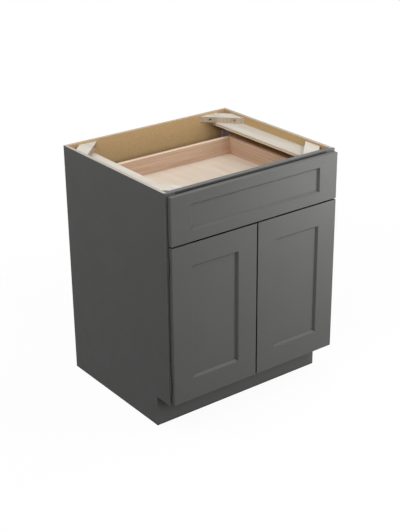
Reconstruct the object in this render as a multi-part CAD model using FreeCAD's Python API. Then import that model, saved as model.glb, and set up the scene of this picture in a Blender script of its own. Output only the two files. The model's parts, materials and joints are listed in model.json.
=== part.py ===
import FreeCAD, Part
import os

from FreeCAD import Vector

# Base cabinet with one drawer over a pair of doors and two rollout trays behind the doors.
# Millimetres. +X is right seen from the front, +Y runs to the back, +Z is up.
# The origin is on the floor, at the middle of the overall width and depth.

# Driving dimensions of the carcass
CABINET_WIDTH = 715.4
CABINET_DEPTH = 609.6
CABINET_HEIGHT = 876.3
SIDE_THICK = 12.7
BACK_THICK = 12.7
DECK_THICK = 12.7
DADO_DEPTH = 6.35
TOE_HEIGHT = 114.3
TOE_SETBACK = 76.2
TOE_BOARD_THICK = 12.7

# Face frame
FRAME_THICK = 19.05
STILE_WIDTH = 38.1
RAIL_HEIGHT = 38.1
TENON_LENGTH = 14.0
TENON_THICK = 8.0
TENON_SHOULDER = 6.0
STILE_RABBET = 9.5

# Doors and drawer front, which overlay the face frame
FRONT_THICK = 19.05
FRONT_GAP = 2.0
SIDE_REVEAL = 6.2
TOP_REVEAL = 8.4
BOTTOM_REVEAL = 8.1
BETWEEN_GAP = 5.2
DRAWER_FRONT_HEIGHT = 166.8
DOOR_STILE_WIDTH = 78.0
DOOR_RAIL_WIDTH = 80.0
DRAWER_FRONT_STILE_WIDTH = 78.0
DRAWER_FRONT_RAIL_WIDTH = 38.1
STICKING_RUN = 7.0
PANEL_RECESS = 9.0
PANEL_THICK = 6.35
PANEL_GROOVE = 9.5
PANEL_PLAY = 0.8

# Braces and corner blocks under the worktop
BRACE_WIDTH = 73.8
BRACE_THICK = 12.0
BLOCK_THICK = 22.0
BLOCK_LEG = 118.0
BLOCK_NIP = 43.0
BLOCK_TOP_DROP = 6.9
BLOCK_SCREW_ALONG = 90.0
SCREW_SHANK_R = 2.0
SCREW_HEAD_R = 4.0
SCREW_HEAD_THICK = 2.5
SCREW_BITE = 10.0
SCREW_HOLD = 12.0
SCREW_BORE_PLAY = 0.5

# Dovetailed boxes: the drawer and the two trays
DRAWER_BOX_HEIGHT = 82.55
DRAWER_BOX_LIFT = 2.8
DRAWER_REAR_SPACE = 82.3
TRAY_HEIGHT = 89.0
TRAY_SETBACK = 62.0
TRAY_REAR_SPACE = 34.0
TRAY_SIDE_SPACE = 22.2
LOWER_TRAY_LIFT = 15.0
UPPER_TRAY_LIFT = 272.0
BOX_SIDE_THICK = 15.9
BOX_END_THICK = 15.9
BOX_BOTTOM_THICK = 6.35
BOX_BOTTOM_INSET = 11.0
BOX_BOTTOM_GROOVE = 6.35
DOVETAIL_PITCH = 25.0
DOVETAIL_WIDE = 0.74
DOVETAIL_NARROW = 0.54
SCOOP_WIDTH = 190.0
SCOOP_DEPTH = 20.0

# Side-mounted slides: cabinet member, middle member and box member
SLIDE_THICK = 12.7
SLIDE_HEIGHT = 45.0
SLIDE_GAUGE = 1.2
SLIDE_PLAY = 0.3
SLIDE_END_SPACE = 8.0

# Steel brackets that carry the rear ends of the drawer slides
BRACKET_GAUGE = 1.5
BRACKET_STANDOFF = 8.9
BRACKET_SIDE_LEG = 31.0
BRACKET_SIDE_LEG_HEIGHT = 17.0
BRACKET_RISE = 37.0
BRACKET_DROP = 20.0
BRACKET_LAP = 18.0
BRACKET_HOLE_R = 2.4
TONGUE_HEIGHT = 26.0

# Wooden posts that carry the tray slides clear of the doors
POST_WIDTH = 40.0
POST_END_SPACE = 12.0
POST_ABOVE_SLIDE = 25.0

# Leaf hinges in the reveal beside each door
HINGE_HEIGHT = 64.0
HINGE_INSET = 70.0
KNUCKLE_R = 2.5
KNUCKLE_LENGTH = 20.0
KNUCKLE_END_GAP = 0.3
KNUCKLE_EDGE_GAP = 0.25
HINGE_FORWARD = 1.0
LEAF_THICK = 0.8
LEAF_WIDTH = 30.0
LEAF_CLEAR = 0.5
PIN_R = 1.2
PIN_PLAY = 0.05

# Bumpers on the face frame
BUMPER_R = 4.0
BUMPER_PLAY = 0.3
BUMPER_INSET = 26.0
BUMPER_EDGE = 9.0

# Places worked out from the driving dimensions
HALF_WIDTH = CABINET_WIDTH / 2
INNER_HALF = HALF_WIDTH - SIDE_THICK
OPENING_HALF = HALF_WIDTH - STILE_WIDTH
FRONT_HALF = HALF_WIDTH - SIDE_REVEAL
OVERALL_DEPTH = CABINET_DEPTH + FRONT_GAP + FRONT_THICK
FRONT_FACE = -OVERALL_DEPTH / 2
FRONT_BACK = FRONT_FACE + FRONT_THICK
FRAME_FRONT = FRONT_BACK + FRONT_GAP
FRAME_BACK = FRAME_FRONT + FRAME_THICK
CABINET_BACK = FRAME_FRONT + CABINET_DEPTH
BACK_INNER = CABINET_BACK - BACK_THICK
TOE_FACE = FRAME_FRONT + TOE_SETBACK
TOE_BACK = TOE_FACE + TOE_BOARD_THICK
DECK_TOP = TOE_HEIGHT + RAIL_HEIGHT
DRAWER_FRONT_TOP = CABINET_HEIGHT - TOP_REVEAL
DRAWER_FRONT_BOTTOM = DRAWER_FRONT_TOP - DRAWER_FRONT_HEIGHT
DOOR_TOP = DRAWER_FRONT_BOTTOM - BETWEEN_GAP
DOOR_BOTTOM = TOE_HEIGHT + BOTTOM_REVEAL
DOOR_EDGE = BETWEEN_GAP / 2
MID_RAIL_BOTTOM = DRAWER_FRONT_BOTTOM - BETWEEN_GAP / 2 - RAIL_HEIGHT / 2
MID_RAIL_TOP = MID_RAIL_BOTTOM + RAIL_HEIGHT
TOP_RAIL_BOTTOM = CABINET_HEIGHT - RAIL_HEIGHT
BLOCK_TOP = CABINET_HEIGHT - BLOCK_TOP_DROP
BRACE_TOP = BLOCK_TOP - BLOCK_THICK
BRACE_INNER = INNER_HALF - BRACE_WIDTH
DRAWER_SLIDE_FACE = OPENING_HALF
DRAWER_HALF = DRAWER_SLIDE_FACE - SLIDE_THICK
DRAWER_BOTTOM = MID_RAIL_TOP + DRAWER_BOX_LIFT
DRAWER_BACK = BACK_INNER - DRAWER_REAR_SPACE
DRAWER_SLIDE_MID = DRAWER_BOTTOM + DRAWER_BOX_HEIGHT / 2
TRAY_SLIDE_FACE = OPENING_HALF - TRAY_SIDE_SPACE
TRAY_HALF = TRAY_SLIDE_FACE - SLIDE_THICK
TRAY_FRONT = FRAME_FRONT + TRAY_SETBACK
TRAY_BACK = BACK_INNER - TRAY_REAR_SPACE
HINGE_X = FRONT_HALF + KNUCKLE_EDGE_GAP + KNUCKLE_R
HINGE_Y = FRONT_BACK - HINGE_FORWARD


def block(x0, x1, y0, y1, z0, z1):
    """A square-edged board between two corners."""
    return Part.makeBox(x1 - x0, y1 - y0, z1 - z0, Vector(x0, y0, z0))


def prism(corners, travel):
    """A flat outline pushed along a straight line."""
    wire = Part.makePolygon(corners + corners[:1])
    return Part.Face(wire).extrude(travel)


def mirrored(shape):
    """The same piece on the other side of the cabinet."""
    return shape.mirror(Vector(0, 0, 0), Vector(1, 0, 0))


def pair(shape):
    """A left-hand and a right-hand piece."""
    return [shape, mirrored(shape)]


def rod(radius, start, direction, length):
    """A round bar."""
    return Part.makeCylinder(radius, length, start, direction)


def rail_spans():
    """Bottom and top of each rail of the face frame, by name."""
    return {
        "top_rail": (TOP_RAIL_BOTTOM, CABINET_HEIGHT),
        "middle_rail": (MID_RAIL_BOTTOM, MID_RAIL_TOP),
        "bottom_rail": (TOE_HEIGHT, DECK_TOP),
    }


def deck():
    """The cabinet floor, housed in both sides."""
    reach = INNER_HALF + DADO_DEPTH
    return block(-reach, reach, FRAME_BACK, BACK_INNER, DECK_TOP - DECK_THICK, DECK_TOP)


def back_panel():
    """The back, let into a rabbet in both sides."""
    reach = INNER_HALF + DADO_DEPTH
    return block(-reach, reach, BACK_INNER, CABINET_BACK, 0, CABINET_HEIGHT)


def left_side():
    """A side with its toe notch, deck housing and back rabbet, its front edge let into the stile."""
    front = FRAME_BACK - STILE_RABBET
    outline = [
        (front, TOE_HEIGHT),
        (TOE_BACK, TOE_HEIGHT),
        (TOE_BACK, 0),
        (CABINET_BACK, 0),
        (CABINET_BACK, CABINET_HEIGHT),
        (front, CABINET_HEIGHT),
    ]
    corners = [Vector(-HALF_WIDTH, y, z) for y, z in outline]
    side = prism(corners, Vector(SIDE_THICK, 0, 0))
    return side.cut(deck()).cut(back_panel())


def frame_rail(bottom, top):
    """A face frame rail with a tenon on each end."""
    rail = block(-OPENING_HALF, OPENING_HALF, FRAME_FRONT, FRAME_BACK, bottom, top)
    reach = OPENING_HALF + TENON_LENGTH
    cheek = (FRAME_THICK - TENON_THICK) / 2
    tenon = block(-reach, reach, FRAME_FRONT + cheek, FRAME_BACK - cheek,
                  bottom + TENON_SHOULDER, top - TENON_SHOULDER)
    return rail.fuse(tenon).removeSplitter()


def left_frame_stile(rails, side):
    """A face frame stile, mortised for its rails and rabbeted over the cabinet side."""
    stile = block(-HALF_WIDTH, -OPENING_HALF, FRAME_FRONT, FRAME_BACK, TOE_HEIGHT, CABINET_HEIGHT)
    for rail in rails.values():
        stile = stile.cut(rail)
    return stile.cut(side)


def corner_frames():
    """Corner and inward directions of the four corner blocks."""
    frames = []
    for side in (-1, 1):
        for corner_y, inward in ((FRAME_BACK, 1), (BACK_INNER, -1)):
            frames.append((Vector(side * INNER_HALF, corner_y, BRACE_TOP),
                           Vector(-side, 0, 0), Vector(0, inward, 0)))
    return frames


def corner_block_and_screws(corner, along_x, along_y):
    """A corner block, its two screws and the two bores that they sit in."""
    legs = [(BLOCK_NIP, 0), (BLOCK_LEG, 0), (0, BLOCK_LEG), (0, BLOCK_NIP)]
    outline = [corner + along_x * a + along_y * b for a, b in legs]
    wood = prism(outline, Vector(0, 0, BLOCK_THICK))
    screws = []
    for leg, out in ((along_x, along_y), (along_y, along_x)):
        foot = corner + leg * BLOCK_SCREW_ALONG + Vector(0, 0, BLOCK_THICK / 2)
        seat = foot + out * SCREW_HOLD
        shank = rod(SCREW_SHANK_R, foot - out * SCREW_BITE, out, SCREW_BITE + SCREW_HOLD)
        head = rod(SCREW_HEAD_R, seat, out, SCREW_HEAD_THICK)
        screws.append(shank.fuse(head).removeSplitter())
        bore = rod(SCREW_HEAD_R + SCREW_BORE_PLAY, seat, out, BLOCK_LEG)
        wood = wood.cut(bore).cut(shank)
    return wood, screws


def left_brace():
    """A flat board along the top of a side, under the corner blocks."""
    return block(-INNER_HALF, -BRACE_INNER, FRAME_BACK, BACK_INNER, BRACE_TOP - BRACE_THICK, BRACE_TOP)


def sticking_profile(width):
    """Section of a stile or rail as (inward, backward) points: sloped inner edge and panel groove."""
    lip = width + STICKING_RUN
    groove = lip - PANEL_GROOVE
    panel_back = PANEL_RECESS + PANEL_THICK
    return [
        (0, 0),
        (width, 0),
        (lip, PANEL_RECESS),
        (groove, PANEL_RECESS),
        (groove, panel_back),
        (lip, panel_back),
        (lip, FRONT_THICK),
        (0, FRONT_THICK),
    ]


def shaker_front(name, x0, x1, z0, z1, stile_width, rail_width):
    """A framed front: two stiles, two rails coped to them, and a loose panel in the grooves."""
    tall = Vector(0, 0, z1 - z0)
    stile = sticking_profile(stile_width)
    left = prism([Vector(x0 + a, FRONT_FACE + b, z0) for a, b in stile], tall)
    right = prism([Vector(x1 - a, FRONT_FACE + b, z0) for a, b in stile], tall)
    stile_groove = stile_width + STICKING_RUN - PANEL_GROOVE
    rail_groove = rail_width + STICKING_RUN - PANEL_GROOVE
    start = x0 + stile_groove
    long = Vector(x1 - x0 - 2 * stile_groove, 0, 0)
    rail = sticking_profile(rail_width)
    top = prism([Vector(start, FRONT_FACE + b, z1 - a) for a, b in rail], long)
    bottom = prism([Vector(start, FRONT_FACE + b, z0 + a) for a, b in rail], long)
    panel = block(start + PANEL_PLAY, x1 - stile_groove - PANEL_PLAY,
                  FRONT_FACE + PANEL_RECESS, FRONT_FACE + PANEL_RECESS + PANEL_THICK,
                  z0 + rail_groove + PANEL_PLAY, z1 - rail_groove - PANEL_PLAY)
    return {
        name + "_left_stile": left,
        name + "_right_stile": right,
        name + "_top_rail": top.cut(left).cut(right),
        name + "_bottom_rail": bottom.cut(left).cut(right),
        name + "_panel": panel,
    }


def dovetail_pins(x0, x1, y_end, y_in, z0, z1):
    """The pins of one corner joint: the corner less the tails of the side."""
    count = max(2, round((z1 - z0) / DOVETAIL_PITCH))
    pitch = (z1 - z0) / count
    pins = block(x0, x1, min(y_end, y_in), max(y_end, y_in), z0, z1)
    for index in range(count):
        middle = z0 + pitch * (index + 0.5)
        wide = pitch * DOVETAIL_WIDE / 2
        narrow = pitch * DOVETAIL_NARROW / 2
        tail = [
            Vector(x0, y_end, middle - wide),
            Vector(x0, y_in, middle - narrow),
            Vector(x0, y_in, middle + narrow),
            Vector(x0, y_end, middle + wide),
        ]
        pins = pins.cut(prism(tail, Vector(x1 - x0, 0, 0)))
    return pins


def finger_scoop(y0, y1, top):
    """The dip in a tray's front edge, with rounded ends."""
    half = SCOOP_WIDTH / 2
    dip = block(-half, half, y0, y1, top - SCOOP_DEPTH, top + SCOOP_DEPTH)
    for side in (-1, 1):
        end = Vector(side * half, y0, top)
        dip = dip.fuse(rod(SCOOP_DEPTH, end, Vector(0, 1, 0), y1 - y0))
    return dip


def dovetailed_box(name, half, y0, y1, z0, height):
    """A drawer or tray: two sides, front and back dovetailed into them, and a grooved-in bottom."""
    z1 = z0 + height
    inner = half - BOX_SIDE_THICK
    front_in = y0 + BOX_END_THICK
    back_in = y1 - BOX_END_THICK
    floor = z0 + BOX_BOTTOM_INSET
    bottom = block(-inner - BOX_BOTTOM_GROOVE, inner + BOX_BOTTOM_GROOVE,
                   front_in - BOX_BOTTOM_GROOVE, back_in + BOX_BOTTOM_GROOVE,
                   floor, floor + BOX_BOTTOM_THICK)
    side = block(-half, -inner, y0, y1, z0, z1)
    front = block(-inner, inner, y0, front_in, z0, z1)
    back = block(-inner, inner, back_in, y1, z0, z1)
    front_pins = dovetail_pins(-half, -inner, y0, front_in, z0, z1)
    back_pins = dovetail_pins(-half, -inner, y1, back_in, z0, z1)
    side = side.cut(front_pins).cut(back_pins).cut(bottom)
    for pins in pair(front_pins):
        front = front.fuse(pins)
    for pins in pair(back_pins):
        back = back.fuse(pins)
    return {
        name + "_left_side": side,
        name + "_right_side": mirrored(side),
        name + "_front": front.removeSplitter().cut(bottom),
        name + "_back": back.removeSplitter().cut(bottom),
        name + "_bottom": bottom,
    }


def slide_sections():
    """Sections of the three slide members as (inward, up) points from the cabinet face."""
    high = SLIDE_HEIGHT / 2
    middle_high = high - SLIDE_GAUGE - SLIDE_PLAY
    box_high = middle_high - SLIDE_GAUGE - SLIDE_PLAY
    web_out = (SLIDE_THICK - SLIDE_GAUGE) / 2
    web_in = web_out + SLIDE_GAUGE
    lip = SLIDE_THICK - SLIDE_GAUGE - SLIDE_PLAY
    start = SLIDE_GAUGE + SLIDE_PLAY
    cabinet = [(0, -high), (lip, -high), (lip, SLIDE_GAUGE - high), (SLIDE_GAUGE, SLIDE_GAUGE - high)]
    middle = [(start, -middle_high), (lip, -middle_high), (lip, SLIDE_GAUGE - middle_high),
              (web_in, SLIDE_GAUGE - middle_high)]
    middle_back = [(start, middle_high), (start, middle_high - SLIDE_GAUGE),
                   (web_out, middle_high - SLIDE_GAUGE)]
    box = [(SLIDE_THICK, -box_high), (web_in + SLIDE_PLAY, -box_high),
           (web_in + SLIDE_PLAY, SLIDE_GAUGE - box_high), (lip + SLIDE_PLAY, SLIDE_GAUGE - box_high)]
    return {
        "cabinet": cabinet + [(a, -b) for a, b in reversed(cabinet)],
        "middle": middle + [(a, -b) for a, b in reversed(middle)]
        + middle_back + [(a, -b) for a, b in reversed(middle_back)],
        "box": box + [(a, -b) for a, b in reversed(box)],
    }


def slides(name, face, y0, y1, z_mid):
    """A left and a right slide, as one node for each kind of member."""
    nodes = {}
    for member, section in slide_sections().items():
        corners = [Vector(-face + a, y0, z_mid + b) for a, b in section]
        nodes[f"{name}_slide_{member}_members"] = pair(prism(corners, Vector(0, y1 - y0, 0)))
    return nodes


def left_rear_bracket(slide_rear):
    """A bent steel bracket from the cabinet side to the rear end of a drawer slide."""
    plate_y = BACK_INNER - BRACKET_STANDOFF
    top = DRAWER_SLIDE_MID + BRACKET_RISE
    bottom = DRAWER_SLIDE_MID - BRACKET_DROP
    inner = -DRAWER_SLIDE_FACE
    side_leg = block(-INNER_HALF, -INNER_HALF + BRACKET_GAUGE, plate_y - BRACKET_SIDE_LEG, plate_y,
                     top - BRACKET_SIDE_LEG_HEIGHT, top)
    plate = block(-INNER_HALF, inner, plate_y - BRACKET_GAUGE, plate_y, bottom, top)
    hole = Vector((inner - INNER_HALF) / 2, plate_y, top - BRACKET_SIDE_LEG_HEIGHT)
    plate = plate.cut(rod(BRACKET_HOLE_R, hole, Vector(0, -1, 0), BRACKET_STANDOFF))
    tongue = block(inner - BRACKET_GAUGE, inner, slide_rear - BRACKET_LAP, plate_y,
                   DRAWER_SLIDE_MID - TONGUE_HEIGHT / 2, DRAWER_SLIDE_MID + TONGUE_HEIGHT / 2)
    return side_leg.fuse(plate).fuse(tongue).removeSplitter()


def tray_slide_posts(slide_front, slide_rear):
    """Front and rear posts on each side, standing on the deck against the cabinet side."""
    top = DECK_TOP + UPPER_TRAY_LIFT + TRAY_HEIGHT / 2 + SLIDE_HEIGHT / 2 + POST_ABOVE_SLIDE
    posts = []
    for y0 in (slide_front + POST_END_SPACE, slide_rear - POST_END_SPACE - POST_WIDTH):
        posts += pair(block(-INNER_HALF, -TRAY_SLIDE_FACE, y0, y0 + POST_WIDTH, DECK_TOP, top))
    return posts


def left_hinge(z_mid):
    """Frame leaf, door leaf and pin of one hinge on the left door."""
    z0 = z_mid - HINGE_HEIGHT / 2
    z1 = z_mid + HINGE_HEIGHT / 2
    up = Vector(0, 0, 1)
    low = z0 + KNUCKLE_LENGTH
    high = z1 - KNUCKLE_LENGTH
    near = -HINGE_X + KNUCKLE_R + LEAF_CLEAR
    far = -HINGE_X + LEAF_WIDTH
    frame_leaf = block(near, far, FRAME_FRONT - LEAF_THICK, FRAME_FRONT, z0, z1)
    door_leaf = block(near, far, FRONT_BACK, FRONT_BACK + LEAF_THICK, z0, z1)
    for start, end in ((z0, low), (high, z1)):
        tab = block(-HINGE_X, near, FRAME_FRONT - LEAF_THICK, FRAME_FRONT, start, end)
        barrel = rod(KNUCKLE_R, Vector(-HINGE_X, HINGE_Y, start), up, end - start)
        frame_leaf = frame_leaf.fuse(tab).fuse(barrel)
    start = low + KNUCKLE_END_GAP
    end = high - KNUCKLE_END_GAP
    tab = block(-HINGE_X, near, FRONT_BACK, FRONT_BACK + LEAF_THICK, start, end)
    barrel = rod(KNUCKLE_R, Vector(-HINGE_X, HINGE_Y, start), up, end - start)
    door_leaf = door_leaf.fuse(tab).fuse(barrel)
    axis = Vector(-HINGE_X, HINGE_Y, z0)
    bore = rod(PIN_R + PIN_PLAY, axis, up, HINGE_HEIGHT)
    pin = rod(PIN_R, axis, up, HINGE_HEIGHT)
    return frame_leaf.removeSplitter().cut(bore), door_leaf.removeSplitter().cut(bore), pin


def bumpers():
    """Round bumpers on the rails, just clear of the closed fronts."""
    thick = FRONT_GAP - BUMPER_PLAY
    drawer_x = OPENING_HALF - BUMPER_INSET
    places = [
        (BUMPER_INSET, DOOR_TOP - BUMPER_EDGE),
        (BUMPER_INSET, DOOR_BOTTOM + BUMPER_EDGE),
        (drawer_x, DRAWER_FRONT_BOTTOM + BUMPER_EDGE),
        (drawer_x, DRAWER_FRONT_TOP - BUMPER_EDGE),
    ]
    discs = []
    for x, z in places:
        discs += pair(rod(BUMPER_R, Vector(-x, FRAME_FRONT, z), Vector(0, -1, 0), thick))
    return discs


def carcass():
    """Sides, back, deck, toe board, face frame, braces, corner blocks and their screws."""
    rails = {name: frame_rail(*span) for name, span in rail_spans().items()}
    wood_blocks = []
    screws = []
    for frame in corner_frames():
        wood, block_screws = corner_block_and_screws(*frame)
        wood_blocks.append(wood)
        screws += block_screws
    side = left_side()
    stile = left_frame_stile(rails, side)
    nodes = {
        "left_side_panel": side,
        "right_side_panel": mirrored(side),
        "back_panel": back_panel(),
        "top_rail": rails["top_rail"],
    }
    for screw in screws:
        nodes = {name: shape.cut(screw) for name, shape in nodes.items()}
    nodes["bottom_panel"] = deck()
    nodes["toe_kick_board"] = block(-HALF_WIDTH, HALF_WIDTH, TOE_FACE, TOE_BACK, 0, TOE_HEIGHT)
    nodes["left_stile"] = stile
    nodes["right_stile"] = mirrored(stile)
    nodes["middle_rail"] = rails["middle_rail"]
    nodes["bottom_rail"] = rails["bottom_rail"]
    nodes["left_side_brace"] = left_brace()
    nodes["right_side_brace"] = mirrored(left_brace())
    nodes["corner_blocks"] = wood_blocks
    nodes["corner_block_screws"] = screws
    nodes["front_bumpers"] = bumpers()
    return nodes


def drawer():
    """The drawer box, its framed front, its slides and their rear brackets."""
    slide_front = FRAME_FRONT
    slide_rear = DRAWER_BACK - SLIDE_END_SPACE
    nodes = dovetailed_box("drawer_box", DRAWER_HALF, FRONT_BACK, DRAWER_BACK,
                           DRAWER_BOTTOM, DRAWER_BOX_HEIGHT)
    nodes.update(shaker_front("drawer_front", -FRONT_HALF, FRONT_HALF, DRAWER_FRONT_BOTTOM,
                              DRAWER_FRONT_TOP, DRAWER_FRONT_STILE_WIDTH, DRAWER_FRONT_RAIL_WIDTH))
    nodes.update(slides("drawer", DRAWER_SLIDE_FACE, slide_front, slide_rear, DRAWER_SLIDE_MID))
    nodes["slide_rear_brackets"] = pair(left_rear_bracket(slide_rear))
    return nodes


def trays():
    """The two rollout trays, their slides and the posts that carry them."""
    slide_front = TRAY_FRONT + SLIDE_END_SPACE
    slide_rear = TRAY_BACK - SLIDE_END_SPACE
    nodes = {}
    for name, lift in (("upper_tray", UPPER_TRAY_LIFT), ("lower_tray", LOWER_TRAY_LIFT)):
        bottom = DECK_TOP + lift
        tray = dovetailed_box(name, TRAY_HALF, TRAY_FRONT, TRAY_BACK, bottom, TRAY_HEIGHT)
        scoop = finger_scoop(TRAY_FRONT, TRAY_FRONT + BOX_END_THICK, bottom + TRAY_HEIGHT)
        tray[name + "_front"] = tray[name + "_front"].cut(scoop)
        nodes.update(tray)
        nodes.update(slides(name, TRAY_SLIDE_FACE, slide_front, slide_rear, bottom + TRAY_HEIGHT / 2))
    nodes["tray_slide_posts"] = tray_slide_posts(slide_front, slide_rear)
    return nodes


def doors():
    """Both framed doors with their hinges."""
    nodes = {}
    for name, x0, x1 in (("left_door", -FRONT_HALF, -DOOR_EDGE), ("right_door", DOOR_EDGE, FRONT_HALF)):
        nodes.update(shaker_front(name, x0, x1, DOOR_BOTTOM, DOOR_TOP, DOOR_STILE_WIDTH, DOOR_RAIL_WIDTH))
    frame_leaves = []
    door_leaves = []
    pins = []
    for z_mid in (DOOR_BOTTOM + HINGE_INSET, DOOR_TOP - HINGE_INSET):
        frame_leaf, door_leaf, pin = left_hinge(z_mid)
        frame_leaves += pair(frame_leaf)
        door_leaves.append(door_leaf)
        pins += pair(pin)
    nodes["hinge_frame_leaves"] = frame_leaves
    nodes["left_door_hinge_leaves"] = door_leaves
    nodes["right_door_hinge_leaves"] = [mirrored(leaf) for leaf in door_leaves]
    nodes["hinge_pins"] = pins
    return nodes


def main():
    """Build every piece and write one file for each node."""
    os.makedirs("parts", exist_ok=True)
    nodes = {}
    for build in (carcass, drawer, doors, trays):
        nodes.update(build())
    for name, shape in nodes.items():
        solids = shape if isinstance(shape, list) else [shape]
        whole = Part.makeCompound([solid for piece in solids for solid in piece.Solids])
        whole.exportStep(f"parts/{name}.step")
    print(len(nodes), "nodes")


main()
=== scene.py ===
"""Dresses a painted base cabinet: one drawer over two doors, with two rollout trays behind the doors.

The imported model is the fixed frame. Every board, slide, hinge and bracket in it is copied as a finished
piece with eased edges, joined by the fasteners and small fittings that only the looks need.
Metres. +X is right seen from the front, +Y runs to the back, +Z is up, and the floor is at zero.
"""

from __future__ import annotations

import json
import logging
import math
from dataclasses import dataclass, replace
from enum import Enum
from typing import Callable, Iterable, Optional, Sequence, Union

import bmesh
import bpy
from mathutils import Matrix, Vector

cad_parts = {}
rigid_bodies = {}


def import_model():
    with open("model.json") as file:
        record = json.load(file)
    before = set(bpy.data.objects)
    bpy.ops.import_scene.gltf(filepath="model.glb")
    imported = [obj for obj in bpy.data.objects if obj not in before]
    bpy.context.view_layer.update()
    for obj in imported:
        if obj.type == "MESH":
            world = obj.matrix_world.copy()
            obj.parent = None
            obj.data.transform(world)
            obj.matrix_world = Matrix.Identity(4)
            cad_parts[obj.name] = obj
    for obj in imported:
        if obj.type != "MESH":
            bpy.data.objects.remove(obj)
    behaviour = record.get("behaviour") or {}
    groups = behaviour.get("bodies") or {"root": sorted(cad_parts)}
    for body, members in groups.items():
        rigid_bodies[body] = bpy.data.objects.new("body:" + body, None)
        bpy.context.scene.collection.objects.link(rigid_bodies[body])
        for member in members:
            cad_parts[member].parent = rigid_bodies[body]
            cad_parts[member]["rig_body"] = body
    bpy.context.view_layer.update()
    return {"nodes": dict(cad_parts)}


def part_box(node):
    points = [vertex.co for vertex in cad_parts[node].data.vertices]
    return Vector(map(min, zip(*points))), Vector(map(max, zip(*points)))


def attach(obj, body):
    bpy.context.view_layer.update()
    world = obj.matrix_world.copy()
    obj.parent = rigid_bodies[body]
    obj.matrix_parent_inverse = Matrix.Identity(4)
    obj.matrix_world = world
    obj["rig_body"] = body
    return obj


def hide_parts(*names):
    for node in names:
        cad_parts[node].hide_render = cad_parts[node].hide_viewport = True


LOG = logging.getLogger("base_cabinet")

EASED = "eased"
MM = 0.001
# Points this near are one, and from these shares up an edge runs and a face looks along an axis
WELD = 0.01 * MM
STRAIGHT = 0.999
SQUARELY = 0.72
DRAWER_SLIDE_INSET = 9.5 * MM
TRAY_SLIDE_INSET = 32.0 * MM
PAINT_GLOSS = {"Specular IOR Level": 0.1}
LACQUER_GLOSS = {"Specular IOR Level": 0.4}
WHITE = (1.0, 1.0, 1.0, 1.0)

Socket = bpy.types.NodeSocket
Feed = Union[Socket, float, Sequence[float]]
Colour = tuple[int, int, int]
Rule = Callable[[bmesh.types.BMEdge], bool]


def linear(colour: Colour) -> tuple[float, float, float, float]:
    """Turn a display colour into the linear colour that shaders use.

    Args:
        colour: Red, green and blue from 0 to 255.

    Returns:
        Linear red, green, blue and an alpha of one.
    """
    shares = [channel / 255 for channel in colour]
    low = [share / 12.92 for share in shares]
    high = [((share + 0.055) / 1.055) ** 2.4 for share in shares]
    red, green, blue = (a if s <= 0.04045 else b for s, a, b in zip(shares, low, high))
    return red, green, blue, 1.0


class Axis(Enum):
    """A direction of the cabinet, as the index of its coordinate."""

    WIDTH = 0
    DEPTH = 1
    HEIGHT = 2


class Treatment(Enum):
    """How a piece's surface was worked, as the end of its name."""

    PAINTED = "painted"
    LACQUERED = "lacquered"
    SANDED = "sanded"
    PLATED = "plated"


class Member(Enum):
    """A member of a three-part slide, from the fixed one to the one that moves most."""

    CABINET = "cabinet"
    MIDDLE = "middle"
    BOX = "box"


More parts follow.
